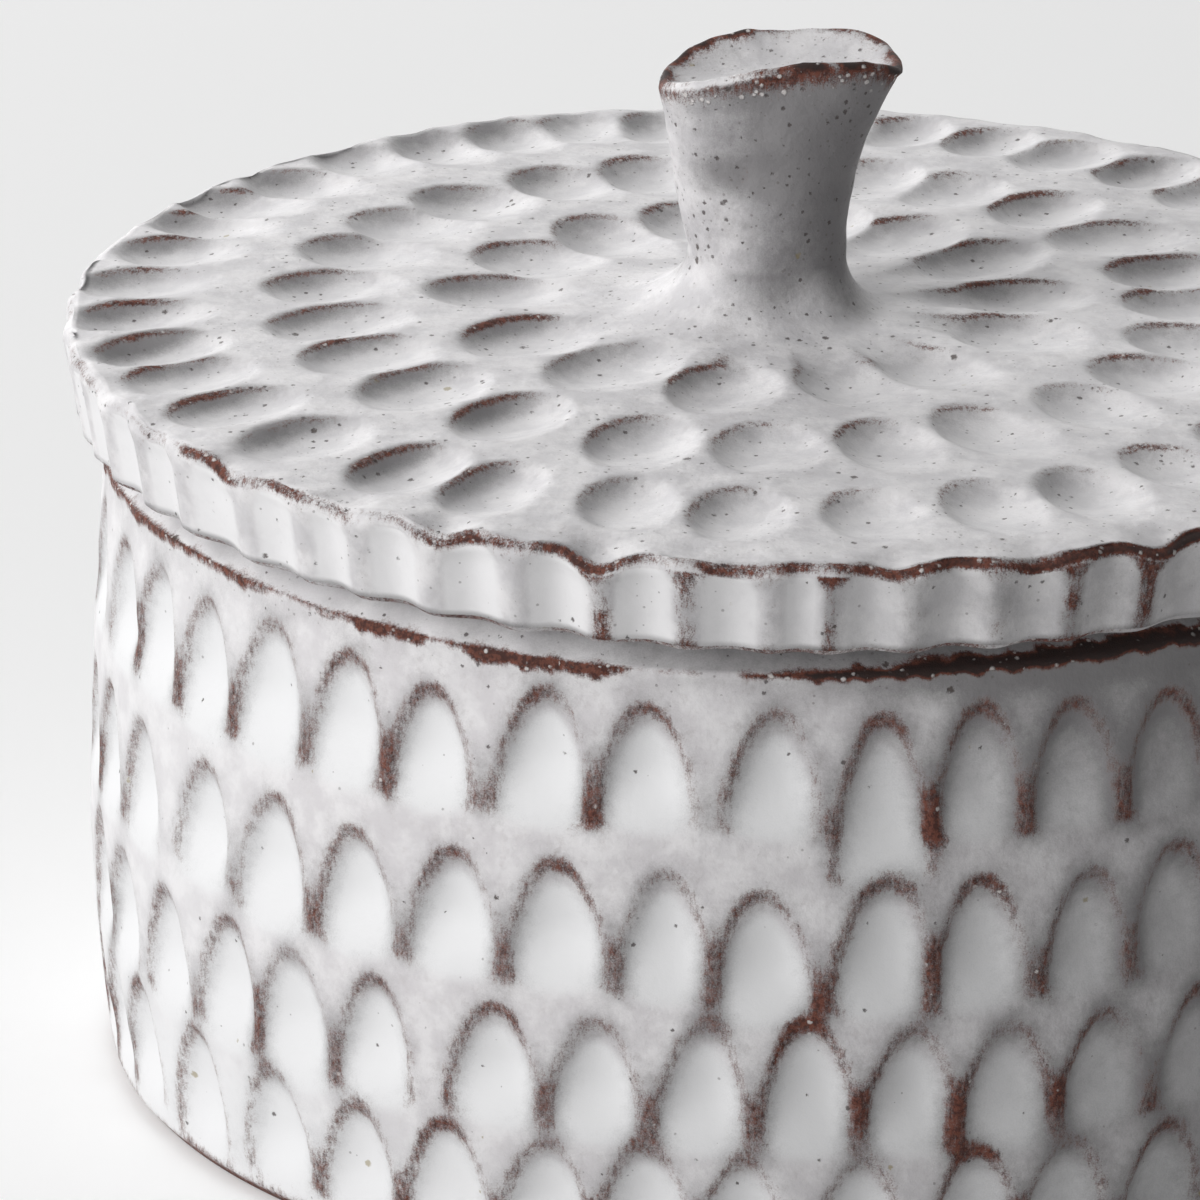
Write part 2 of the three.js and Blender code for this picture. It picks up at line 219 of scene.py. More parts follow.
# The surround's light on the object, its brightness to the camera, and the floor's colour, reach in mm
# and extra brightness to the camera.
WORLD = 0.05
BACKDROP = 0.82
FLOOR_COLOUR = "e2e2e2"
FLOOR_REACH = 4000
FLOOR_GLOW = 0.21


def uneven(seed):
    """A repeatable irregular value between -1 and 1 for each seed."""
    wave = np.sin(np.asarray(seed) * 12.9898) * 43758.5453
    return 2 * (wave - np.floor(wave)) - 1


def smooth(low, high, value):
    """Rises softly from 0 at low to 1 at high."""
    part = np.clip((value - low) / (high - low), 0, 1)
    return part * part * (3 - 2 * part)


def cloud(x, y, z, size, seed):
    """Soft irregular lumps between -1 and 1, about that size in mm."""
    spot = [np.asarray(v, float) / size + 0.37 * seed for v in (x, y, z)]
    cell = [np.floor(v) for v in spot]
    part = [v - c for v, c in zip(spot, cell)]
    part = [p * p * (3 - 2 * p) for p in part]
    total = 0
    for corner in np.ndindex(2, 2, 2):
        weight = 1
        for near, p in zip(corner, part):
            weight = weight * (p if near else 1 - p)
        steps = [c + near for c, near in zip(cell, corner)]
        total = total + weight * uneven(steps[0] * 1.7 + steps[1] * 29.3 + steps[2] * 113.1 + seed)
    return total


class Relief:
    """Depths in mm, the brown stain round each mark and how far glaze fills it, on a fine flat grid."""

    def __init__(self, across, along, closed):
        self.low = np.array([across[0], along[0]], float)
        size = np.array([across[1], along[1]], float) - self.low
        self.shape = tuple(np.round(size / MAP_STEP).astype(int))
        self.step = size / self.shape
        self.closed = closed
        self.depth, self.stain, self.fill = (np.zeros(self.shape) for layer in range(3))

    def press(self, centre, reach, mark):
        """Adds one mark, given by a function from the place relative to its centre to its three layers."""
        where = []
        for axis in range(2):
            first = int((centre[axis] - reach - self.low[axis]) / self.step[axis])
            last = int((centre[axis] + reach - self.low[axis]) / self.step[axis]) + 1
            if axis or not self.closed:
                first, last = max(first, 0), min(last, self.shape[axis])
            where.append(np.arange(first, last))
        across = where[0] * self.step[0] + self.low[0] - centre[0]
        along = where[1] * self.step[1] + self.low[1] - centre[1]
        patch = np.ix_(where[0] % self.shape[0], where[1])
        depth, stain, fill = mark(across[:, None], along[None, :])
        self.depth[patch] = np.maximum(self.depth[patch], depth)
        self.stain[patch] += stain
        self.fill[patch] = np.maximum(self.fill[patch], fill)

    def layer(self, values, spread):
        """A function from any place to the grid's values there, blurred by a bell of that spread in mm."""
        waves = [np.fft.fftfreq(n, d) for n, d in zip(self.shape, self.step)]
        square = waves[0][:, None] ** 2 + waves[1][None, :] ** 2
        soft = np.real(np.fft.ifft2(np.fft.fft2(values) * np.exp(-2 * (math.pi * spread) ** 2 * square)))
        return lambda u, v: self.read(soft, u, v)

    def read(self, values, u, v):
        """The grid's values at any places, blended between its points."""
        spot = [(u - self.low[0]) / self.step[0], (v - self.low[1]) / self.step[1]]
        if self.closed:
            spot[0] = spot[0] % self.shape[0]
        else:
            spot[0] = np.clip(spot[0], 0, self.shape[0] - 1.001)
        spot[1] = np.clip(spot[1], 0, self.shape[1] - 1.001)
        i, j = (np.floor(s).astype(int) for s in spot)
        a, b = spot[0] - i, spot[1] - j
        i, i2 = i % self.shape[0], (i + 1) % self.shape[0]
        near = values[i, j] * (1 - a) + values[i2, j] * a
        far = values[i, j + 1] * (1 - a) + values[i2, j + 1] * a
        return near * (1 - b) + far * b


# Meshes.

def angles_round(count):
    """Angles from the front, once round."""
    return np.arange(count) * 2 * math.pi / count


def directions(count):
    """The unit directions in x and y of those angles."""
    return np.sin(angles_round(count)), -np.cos(angles_round(count))


def ring_of(radius, height, sines, cosines, centre=(0, 0)):
    """Points in mm at that radius and height in each direction."""
    radius = radius + np.zeros_like(sines)
    height = height + np.zeros_like(sines)
    return np.stack([centre[0] + radius * sines, centre[1] + radius * cosines, height], 1)


def new_piece(name, points, faces):
    """An object with smooth faces, from points in mm."""
    mesh = bpy.data.meshes.new(name)
    mesh.from_pydata((np.asarray(points) * MM).tolist(), [], faces)
    mesh.validate()
    mesh.polygons.foreach_set("use_smooth", [True] * len(mesh.polygons))
    piece = bpy.data.objects.new(name, mesh)
    bpy.context.scene.collection.objects.link(piece)
    return piece


def bridge(count, lower, upper):
    """Faces between two rings with that many points each, given by their first points."""
    for i in range(count):
        j = (i + 1) % count
        yield (lower + i, upper + i, upper + j, lower + j)


def widen(few, many, lower, upper):
    """Faces from a ring to one with a whole number of times its points."""
    times = many // few
    for i in range(few):
        for j in range(times):
            spot = i * times + j - times // 2
            yield (lower + i, upper + spot % many, upper + (spot + 1) % many)
        corner = i * times + times - times // 2
        yield (lower + i, upper + corner % many, lower + (i + 1) % few)


class Skin:
    """A closed surface under construction, from rings of points in mm and their glaze values."""

    def __init__(self):
        self.rings = []
        self.marks = {key: [] for key in MARKS}

    def add(self, ring, *values):
        """Adds a ring with its four glaze values, each a number or one number for every point."""
        self.rings.append(ring)
        for key, value in zip(MARKS, values):
            self.marks[key].append(value + np.zeros(len(ring)))

    def faces(self):
        """The faces between the rings, and the fans that close the two ends."""
        counts = [len(ring) for ring in self.rings]
        starts = np.cumsum([1, *counts]).tolist()
        faces = [(0, 1 + i, 1 + (i + 1) % counts[0]) for i in range(counts[0])]
        for few, many, lower, upper in zip(counts, counts[1:], starts, starts[1:]):
            faces.extend(bridge(few, lower, upper) if few == many else widen(few, many, lower, upper))
        count, start, end = counts[-1], starts[-2], starts[-1]
        faces.extend((end, start + (i + 1) % count, start + i) for i in range(count))
        return faces

    def piece(self, name, first, last, end_value):
        """The finished piece, with a point at each end that has that glaze value."""
        points = np.vstack([np.reshape(first, (1, 3)), *self.rings, np.reshape(last, (1, 3))])
        piece = new_piece(name, points, self.faces())
        for key, values in self.marks.items():
            attribute = piece.data.attributes.new(key, "FLOAT", "POINT")
            numbers = np.concatenate([[end_value], *values, [end_value]])
            attribute.data.foreach_set("value", numbers.astype(np.float32))
        return piece


# Carving of the pot's wall.

def wall_cut(width, height, depth, lean):
    """One arched cut: steep round head, widest low down, and a tail that runs out to the surface."""
    turn = math.radians(lean)
    head_reach = height * CUT_WIDEST
    tail_reach = height * (1 - CUT_WIDEST)

    def mark(across, up):
        side = across * math.cos(turn) + up * math.sin(turn)
        down = 0.5 - (up * math.cos(turn) - across * math.sin(turn)) / height
        head = np.clip(1 - down / CUT_WIDEST, 0, 2)
        tail = np.clip((down - CUT_WIDEST) / (1 - CUT_WIDEST), 0, 3)
        flank = np.abs(side) / (width / 2) * (1 + 0.2 * head)
        bowl = np.clip(1 - (flank ** 2 + head ** 2.1) ** 1.25, 0, 1) ** 0.8
        fade = 1 - smooth(0.45, 1.05, down)

        # How far a place lies outside the cut's closed outline, in mm.
        closed = (flank ** 2.3 + head ** 2.3 + tail ** 2.3) ** 0.5
        shares = flank ** 2 + 0.001, head ** 2, tail ** 2
        slope = shares[0] / (width / 2) + shares[1] / head_reach + shares[2] / tail_reach
        beyond = (closed - 1) * sum(shares) / slope

        # Glaze fills the cut up to a crescent in its head, and brown shows along its edge, wider round the
        # head; the unfilled crescent and the wider brown stand partly for thin glaze and wear and partly for
        # painted shade under the head.
        crown = smooth(0.6, 0.05, down)
        foot = smooth(0.7, 1, down)
        fill = smooth(0.5, -1 - 1.4 * foot, beyond + 3 * crown - 0.6 * foot)
        inner = smooth(-1.8 - 1.3 * crown, -0.3 - 0.7 * crown, beyond)
        outer = smooth(2.4 - 1.5 * crown, 0.1, beyond)
        stain = inner * outer * (0.84 - 0.04 * smooth(0.1, 0.5, down)) * smooth(1.05, 0.86, down)
        # Painted shade: brown is up to a fifth weaker on each cut's right flank, so the left flank, turned
        # away from the light, is darker.
        stain = stain * (1 - 0.2 * smooth(0, width * 0.4, side))
        return depth * bowl * fade, stain, fill

    return mark


def row_angles(row):
    """The angles in degrees of the cuts in a row, moved apart where two would stand too close."""
    k = np.arange(row["count"])
    angles = row["turn"] + 360 / row["count"] * (k + row["spread"] * uneven(row["seed"] + k))
    short = np.clip(CUT_GAP - (np.roll(angles, -1) - angles) % 360, 0, None)
    return angles + np.roll(short, 1) / 2 - short / 2


def wall_layers():
    """The carved wall's layers, each a function from arc length and height to its value there."""
    relief = Relief((0, 2 * math.pi * BELLY_RADIUS), WALL_MAP, True)
    for row in CUT_ROWS:
        for k, angle in enumerate(row_angles(row)):
            seed = row["seed"] + k
            extra = row["longer"].get(k, 0)
            height = CUT_HEIGHT * (1 + 0.07 * uneven(seed + 0.8)) + extra
            level = row["level"] + 0.6 * uneven(seed + 0.2) - extra / 2
            width = CUT_WIDTH * (1 + 0.07 * uneven(seed + 0.6))
            depth = CUT_DEPTH * (1 + 0.14 * uneven(seed + 0.1))
            lean = CUT_LEAN * uneven(seed + 0.4)
            place = math.radians(angle % 360) * BELLY_RADIUS
            relief.press((place, level), CUT_REACH, wall_cut(width, height, depth, lean))
    return {"depth": relief.layer(relief.depth, 0.35), "fill": relief.layer(relief.fill, 0.6),
            "stain": relief.layer(relief.stain, 0.35), "halo_thin_and_shade": relief.layer(relief.stain, 1.2)}


# The pot.

def wall_radius(z):
    """The pot's outer radius at a height, before it is carved."""
    below = np.clip(1 - z / BELLY_HEIGHT, 0, 1)
    above = np.clip((z - BELLY_HEIGHT) / (RIM_EDGE_HEIGHT - BELLY_HEIGHT), 0, 1)
    foot_inset = (BELLY_RADIUS - FOOT_RADIUS) * below ** 2
    rim_inset = (BELLY_RADIUS - RIM_RADIUS) * above ** 2
    return BELLY_RADIUS - foot_inset - rim_inset


def rim_wave(angle):
    """How far the hand-cut rim stands above its mean height."""
    return RIM_WAVE * (np.sin(angle + 0.6) + 0.5 * np.sin(5 * angle))


def from_front(angle):
    """The angle in degrees from the front, between -180 and 180, negative to the left."""
    return (np.degrees(angle) + 180) % 360 - 180


def from_front_and_back(angle):
    """Degrees from the front, from -180 up to the right side and back to -180 over the far side."""
    turn = from_front(angle)
    return np.minimum(turn, 360 - 3 * turn)


def rim_wear_and_shadow(angle):
    """The width in mm and the darkness of the brown band along the rim, which on the right is also painted
    shadow under the lid.
    """
    angles, widths, darks = zip(*RIM_WEAR_AND_SHADOW)
    turn = from_front(angle)
    return np.interp(turn, angles, widths), np.interp(turn, angles, darks)


def pot_specks(z):
    """How many specks the pot's glaze has at a height: few, and more at the rim."""
    return 0.05 + 0.4 * smooth(RIM_EDGE_HEIGHT - 3, RIM_EDGE_HEIGHT - 1.5, z)


def wall_glaze(layers, angle, place, ragged):
    """The wall's glaze values: brown at the cuts' edges and the rim, grey around them, white in the cuts,
    with painted shade on the right and under the lid, and painted light low down and on the left.
    """
    x, y, z = place
    arc = angle * BELLY_RADIUS
    below = RIM_EDGE_HEIGHT - z
    band, dark = rim_wear_and_shadow(angle)
    side = from_front_and_back(angle)
    left = 0.85 + 0.15 * smooth(-60, -15, side)
    # Painted shade: the right side is made greyer and its pools less white, more so just under the lid,
    # where the lid's shadow falls.
    right = smooth(0, 40, side)
    painted_lid_shadow = smooth(-15, 25, side) * smooth(22, 4, below)
    patches = 1 + 0.35 * cloud(x, y, z, 7, 13)
    worn = np.minimum(layers["stain"](arc, z), 0.9) * patches * left
    # The brown band along the rim; near black on the right, where it also paints the lid's shadow.
    worn = worn + dark * smooth(0.9, -0.5, below - band - 0.75 * ragged)
    worn = worn + 0.6 * smooth(1.2, 0, z - FOOT_BEVEL)
    # Grey under the rim band: thin glaze all round, and painted shade under the lid that grows towards the
    # right.
    under_rim_grey_and_shade = (0.3 + 0.35 * smooth(-5, 15, side)) * smooth(4.5, 0.5, below - band)
    # The grey halo round each cut is partly thin glaze and partly painted shade round its head and left
    # flank.
    grey = 1.3 * left * layers["halo_thin_and_shade"](arc, z) + under_rim_grey_and_shade
    # Less grey low down on the wall: painted light near the floor.
    grey = grey * (0.7 + 0.3 * smooth(2, 25, z)) + 0.4 * right + 0.35 * painted_lid_shadow
    pooled = layers["fill"](arc, z) * (1 - 0.45 * right - 0.35 * painted_lid_shadow)
    # Painted light: the pools are whiter low down near the floor and at the left, towards the lamps.
    pooled = pooled + 0.6 * smooth(25, 0, z) + 0.45 * smooth(-15, -60, side)
    return worn, grey, pooled, pot_specks(z)


def wall_ring(skin, layers, z):
    """A ring of the carved wall, with a lip of clay along its ragged rim."""
    angle = angles_round(AROUND)
    sines, cosines = directions(AROUND)
    radius = wall_radius(z)
    x, y = radius * sines, radius * cosines
    below = RIM_EDGE_HEIGHT - z
    ragged = 0.7 * cloud(x, y, 0, 1.2, 5) + 0.5 * cloud(x, y, 0, 4.5, 6)
    bumps = 0.25 * cloud(x, y, z, 13, 3) + 0.1 * cloud(x, y, z, 4, 9)
    lip = smooth(2.2, 0.2, below) * (0.3 + 0.3 * ragged)
    carved = layers["depth"](angle * BELLY_RADIUS, z)
    out = radius - carved + bumps * smooth(0, 4, below) + lip
    level = z + rim_wave(angle) * smooth(52, RIM_EDGE_HEIGHT, z)
    skin.add(ring_of(out, level, sines, cosines), *wall_glaze(layers, angle, (x, y, z), ragged))


def bevel_ring(skin, part):
    """A ring of the sloping rim, that part of the way from the seat out to its edge."""
    angle = angles_round(AROUND)
    sines, cosines = directions(AROUND)
    seat_edge = MOUTH_RADIUS + SEAT_WIDTH
    radius = seat_edge + (RIM_RADIUS - seat_edge) * part
    z = SEAT_HEIGHT - RIM_DROP * part
    side = from_front_and_back(angle)
    dark = rim_wear_and_shadow(angle)[1]
    ragged = part + 0.15 * cloud(radius * sines, radius * cosines, 0, 1.5, 8)
    # Painted shadow under the lid over thin glaze: extra brown on the bevel's right half, and grey that
    # grows from the left towards the right.
    worn = dark * (0.5 * smooth(0.75, 1, ragged) + 0.6 * smooth(0, 20, side) * smooth(0.55, 0.7, ragged))
    grey = 0.25 + 0.5 * smooth(-35, 5, side)
    ring = ring_of(radius, z + rim_wave(angle) * part, sines, cosines)
    skin.add(ring, worn, grey, 0.45, pot_specks(z))


def inside_outline():
    """The pot's inside from the floor up to the seat: radius and height of each ring."""
    inner = BELLY_RADIUS - WALL_THICKNESS
    for radius in (6, 18, 30, 42, 52):
        yield radius, FLOOR_THICKNESS
    for turn in np.linspace(0, math.pi / 2, 5):
        radius = inner - 0.9 - FLOOR_FILLET * (1 - math.sin(turn))
        yield radius, FLOOR_THICKNESS + FLOOR_FILLET * (1 - math.cos(turn))
    for z in np.linspace(20, SEAT_HEIGHT - MOUTH_DEPTH, 6):
        bulge = 1 - ((z - BELLY_HEIGHT) / 30) ** 2
        yield MOUTH_RADIUS + (inner - MOUTH_RADIUS) * max(bulge, 0), z
    for outward, down in ((0, 4), (0, 0.6), (0.2, 0.15), (0.6, 0), (SEAT_WIDTH - 0.3, 0)):
        yield MOUTH_RADIUS + outward, SEAT_HEIGHT - down


def foot_outline():
    """The pot's foot and underside from the wall inwards: radius, height and bareness of each ring."""
    foot = wall_radius(0)
    for inward, z in ((0.5, 0.7), (1, 0.15), (FOOT_BEVEL, 0)):
        yield foot - inward, z, 1.1
    yield foot - FOOT_RING_WIDTH, 0, 0
    for radius in (foot - FOOT_RING_WIDTH - 2, 45, 28, 10):
        yield radius, FOOT_RECESS, 0


def plain_ring(skin, radius, z, worn):
    """A ring of the pot without carving."""
    skin.add(ring_of(radius, z, *directions(AROUND)), worn, 0, 0, pot_specks(z))


def make_pot():
    """The pot in one closed surface, from its floor over the rim and down the wall to its underside."""
    skin = Skin()
    layers = wall_layers()
    for radius, z in inside_outline():
        plain_ring(skin, radius, z, 0)
    for part in (0.08, 0.25, 0.45, 0.65, 0.82, 0.94):
        bevel_ring(skin, part)
    for z in np.linspace(RIM_EDGE_HEIGHT - 0.15, FOOT_BEVEL, WALL_ROWS):
        wall_ring(skin, layers, z)
    for radius, z, worn in foot_outline():
        plain_ring(skin, radius, z, worn)
    return skin.piece("pot_body", (0, 0, FLOOR_THICKNESS), (0, 0, FOOT_RECESS), 0)


# The knob: c and s are the cosine and sine of the direction, from the right towards the back.

def toward(c, s, degrees, spread):
    """A soft bump from 0 to 1 round the knob, about a direction counted from the right towards the back."""
    turn = math.radians(degrees)
    return smooth(math.cos(math.radians(spread)), 1, c * math.cos(turn) + s * math.sin(turn))


def knob_radius(c, s, h):
    """The knob's radius in a direction, at a height above its seat."""
    t = np.clip((h - 6.5) / 20, 0, 1.1)
    right = KNOB_WAIST_RADIUS + KNOB_RIGHT_FLARE * t ** 2.2
    left = KNOB_WAIST_RADIUS + KNOB_LEFT_FLARE * t ** 0.8
    back = KNOB_WAIST_RADIUS + KNOB_BACK_FLARE * t ** 2
    front = KNOB_WAIST_RADIUS + KNOB_FRONT_FLARE * t ** 2
    wide = np.where(c > 0, right, left)
    deep = np.where(s > 0, back, front)
    power = 2 + 0.4 * t
    return (np.abs(c / wide) ** power + np.abs(s / deep) ** power) ** (-1 / power)


def lip_height(c, s):
    """The height of the knob's lip above its seat."""
    power = np.where(c > 0, 8, 2.5)
    height = LIP_HEIGHT - 0.8 * s + 0.5 * c - 2.0 * np.abs(c) ** power
    height = height - 0.9 * toward(c, s, 215, 105) + 0.3 * toward(c, s, 320, 70)
    height = height + 0.2 * cloud(6 * c, 6 * s, 0, 3, 61) + 0.15 * cloud(9 * c, 9 * s, 0, 1.4, 62)
    return np.minimum(height, KNOB_HEIGHT)


def lip_wear(c, s):
    """How much brown shows along the knob's lip."""
    most = 0.75 + 0.6 * toward(c, s, 320, 75) + 0.7 * toward(c, s, 135, 75) + 0.3 * toward(c, s, 20, 60)
    return most - 0.2 * toward(c, s, 75, 30) - 0.35 * toward(c, s, 226, 50)


def knob_grey_and_shade(c, s):
    """How grey the knob's glaze is: thinned glaze all round, and painted shade most at its front and right,
    away from the light.
    """
    return 0.5 + 0.55 * smooth(-0.7, 0.4, c) * smooth(0.5, -0.3, s)


def knob_ring(skin, out, height, worn, grey, pooled, speck=0.9):
    """A slightly lumpy ring of the knob, at that radius and height above its seat."""
    c, s = directions(KNOB_AROUND)
    ring = ring_of(out, KNOB_SEAT + height, c, s, KNOB_CENTRE)
    lumps = 0.3 * cloud(*ring.T, 6, 21) + 0.1 * cloud(*ring.T, 2, 23)
    ring[:, 0] += lumps * c
    ring[:, 1] += lumps * s
    skin.add(ring, worn, grey, pooled, speck)


def knob_top(skin):
    """The knob's dished top and its worn lip."""
    c, s = directions(KNOB_AROUND)
    lip = lip_height(c, s)
    rim = knob_radius(c, s, lip)
    for part in np.linspace(0.08, 0.86, 11):
        floor = DISH_FLOOR + 0.5 * c * part
        height = floor + (lip - 0.45 - floor) * part ** 2.8
        # Painted shade on the dish's left inner wall, which faces away from the light.
        grey = 0.1 + 0.5 * smooth(0.3, -0.8, c) * part ** 1.5
        knob_ring(skin, (rim - 1.2) * part, height, 0.2 * part ** 4, grey, 0.3)
    for inward, down, bare in LIP_RINGS:
        worn = bare * lip_wear(c, s)
        ragged = 0.8 + 0.5 * cloud(rim * c, rim * s, down, 1.6, 27)
        knob_ring(skin, rim - inward, lip - down, worn * ragged, 0.5 * worn, 0.2, 0.3)


def knob_side(skin):
    """The knob's side from under its lip down to its waist, with a dent pressed in its left front."""
    c, s = directions(KNOB_AROUND)
    lip = lip_height(c, s)
    for part in np.linspace(0.975, 0, 36):
        height = KNOB_WAIST_HEIGHT + part * (lip - 0.55 - KNOB_WAIST_HEIGHT)
        below = lip - height
        dent = smooth(12.5, 15.5, height) * smooth(19, 16, height) * toward(c, s, 250, 75)
        roll = toward(c, s, 215, 60) * smooth(0, 0.8, below) * smooth(4, 1.5, below)
        dust = smooth(4.4, 0.3, below) * (lip_wear(c, s) + 0.8 * toward(c, s, 235, 75))
        out = knob_radius(c, s, height) - 0.35 * dent
        patches = 0.25 * cloud(out * c, out * s, height, 5, 29)
        # The dent's grey is partly painted shade under the bulge above it.
        grey = knob_grey_and_shade(c, s) + 0.35 * dust + 0.5 * dent + patches - 0.2 * roll
        # Greyer high up except at the far left, and lighter at the far left edge, where the light falls:
        # painted light.
        grey = grey + 0.3 * smooth(13, 18, height) * smooth(-1, -0.6, c) - 0.25 * smooth(-0.6, -1, c)
        worn = 0.75 * dust + 0.25 * dent + 0.4 * patches
        knob_ring(skin, out + 0.3 * roll, height, worn, grey, 0.12 + 0.3 * roll, 1 + dust)


def knob_foot(skin):
    """The clay smeared from the knob's waist out over the lid, furthest to the left."""
    c, s = directions(KNOB_AROUND)
    reach = np.where(c > 0, 4.6, 10) * c ** 2 + np.where(s > 0, 7, 6.6) * s ** 2
    for turn in np.linspace(0, math.pi / 2, 16)[1:]:
        out = KNOB_WAIST_RADIUS + reach * (1 - math.cos(turn))
        height = KNOB_WAIST_HEIGHT * (1 - math.sin(turn))
        fold = cloud(out * c, out * s, 0, 4.5, 35)
        # The grey fades out towards the lid, lightening the foot where the knob's own shadow falls on its
        # right: painted light.
        grey = knob_grey_and_shade(c, s) * (1 - 0.85 * math.sin(turn)) + 0.3 * fold
        knob_ring(skin, out, height, 0.25 * np.clip(fold, 0, 1), grey, 0.2, 0.7)


# Carving of the lid.

def lid_scoop(length, width, depth, turn):
    """One oval scoop, cut steeply on one side and fading out on the other."""

    def mark(x, y):
        out = (x * math.sin(turn) - y * math.cos(turn)) / (length / 2)
        side = (x * math.cos(turn) + y * math.sin(turn)) / (width / 2)
        reach = out ** 2 + side ** 2
        facing = (x * STEEP_SIDE[0] + y * STEEP_SIDE[1]) / (width / 2)
        bowl = np.clip(1 - reach, 0, 1) ** 0.7 * (0.3 + 0.7 * smooth(-1.2, 0.7, facing))
        return depth * bowl, 0, smooth(1, 0.3, reach)

    return mark


def carve_scoop(relief, ring, seed, angle):
    """Presses one scoop of a ring into the lid, and gives its centre."""
    radius = ring["radius"] + 0.8 * uneven(seed + 0.2)
    turn = angle + math.radians(SCOOP_LEAN * uneven(seed + 0.4))
    length = ring["length"] * (1 + 0.07 * uneven(seed + 0.8))
    width = ring["width"] * (1 + 0.06 * uneven(seed + 0.6))
    depth = SCOOP_DEPTH * (1 + 0.15 * uneven(seed + 0.1))
    x, y = ring["centre"]
    centre = (x + radius * math.sin(angle), y - radius * math.cos(angle))
    relief.press(centre, SCOOP_REACH, lid_scoop(length, width, depth, turn))
    return centre


def carve_trough(relief, centre, seed, angle):
    """Runs an outer scoop over the lid's edge in a soft trough, deepest at the front."""
    away = LID_RADIUS * TROUGH_PLACE / math.hypot(*centre)
    front = 0.25 + 0.75 * smooth(-0.1, 0.8, math.cos(angle))
    dip = EDGE_DIP * front * (1 + 0.5 * uneven(seed + 0.3))

    def mark(x, y):
        out = x * math.sin(angle) - y * math.cos(angle)
        side = x * math.cos(angle) + y * math.sin(angle)
        return dip * np.exp(-(side / TROUGH_WIDTH) ** 2) * smooth(-5, 2, out), 0, 0

    relief.press((centre[0] * away, centre[1] * away), TROUGH_REACH, mark)


def lid_layers():
    """The carved lid's layers, each a function from x and y to its value there."""
    relief = Relief(LID_MAP, LID_MAP, False)
    for ring in LID_RINGS:
        for k in range(ring["count"]):
            seed = ring["seed"] + k
            pitch = 360 / ring["count"]
            degrees = ring["turn"] + pitch * (k + RING_SPREAD * uneven(seed))
            degrees += ring["drift"] * math.sin(math.radians(pitch * k - ring["phase"]))
            angle = math.radians(degrees)
            centre = carve_scoop(relief, ring, seed, angle)
            if ring is LID_RINGS[0]:
                carve_trough(relief, centre, seed, angle)
    return {"depth": relief.layer(relief.depth, 0.35), "mild": relief.layer(relief.depth, 0.8),
            "wide": relief.layer(relief.depth, 1.3), "fill": relief.layer(relief.fill, 0.5)}


def flute_places(angle):
    """At each angle: the flute's depth, how near it is to a ridge from 0 to 1, and that ridge's wear."""
    k = np.arange(FLUTE_COUNT)
    ridges = FLUTE_TURN + 360 / FLUTE_COUNT * (k + FLUTE_SPREAD * uneven(FLUTE_SEED + k))
    ridges = np.sort(ridges % 360)
    turn = np.degrees(angle) % 360
    after = np.searchsorted(ridges, turn) % FLUTE_COUNT
    before = (after - 1) % FLUTE_COUNT
    gap = (ridges[after] - ridges[before]) % 360
    part = ((turn - ridges[before]) % 360) / gap
    depth = FLUTE_DEPTH * (1 + 0.25 * uneven(FLUTE_SEED + 0.5 + before)) * gap / FLUTE_WIDTH
    depth = depth * (0.5 + 0.5 * smooth(0.1, 0.8, np.cos(angle)))
    ridge = np.where(part < 0.5, before, after)
    return depth, np.abs(2 * part - 1), smooth(-0.3, 0.8, uneven(FLUTE_SEED + 0.9 + ridge))


def flute_hollow(away, down):
    """How hollow a flute is from 0 to 1, nearer to a ridge and further down from its arched top."""
    width = 0.7 + 0.3 * smooth(0, 3, down)
    height = 0.45 + 0.55 * smooth(0, 3, down)
    return height * np.cos(np.clip(away / width, 0, 1) * math.pi / 2) ** 1.8


# The lid.

class LidEdge:
    """What the rings of the lid share: their directions, the flutes, and the places of the top edge."""

    def __init__(self, layers):
        self.angle = angles_round(AROUND)
        self.sines, self.cosines = directions(AROUND)
        self.flute, self.away, self.ridge_wear = flute_places(self.angle)
        radius = LID_RADIUS - self.fluted(0)
        self.x, self.y = radius * self.sines, radius * self.cosines
        self.top = LID_EDGE_TOP - layers["depth"](self.x, self.y) + 0.15 * cloud(self.x, self.y, 0, 5, 43)

    def fluted(self, down):
        """How far the flutes cut in, in mm, that far down from the top edge."""
        return self.flute * flute_hollow(self.away, down)

    def ring(self, radius, height, centre=(0, 0)):
        """Points at that radius and height."""
        return ring_of(radius, height, self.sines, self.cosines, centre)


def edge_wear(x, y, angle):
    """How much brown shows along the lid's top edge, at places in mm."""
    front = smooth(0, 0.75, np.cos(angle))
    most = 0.12 + 0.73 * front + 0.4 * front * smooth(-0.05, 0.3, np.sin(angle))
    return most + (0.35 + 0.2 * front) * cloud(x, y, 0, 5, 41) + 0.35 * cloud(x, y, 0, 1.6, 42)


def lid_height(x, y):
    """The height of the lid's domed upper side before it is carved."""
    part = np.clip((np.hypot(x, y) - KNOB_PAD_RADIUS) / (LID_RADIUS - KNOB_PAD_RADIUS), 0, 1)
    return LID_EDGE_TOP + LID_DOME * (1 - part ** 2)


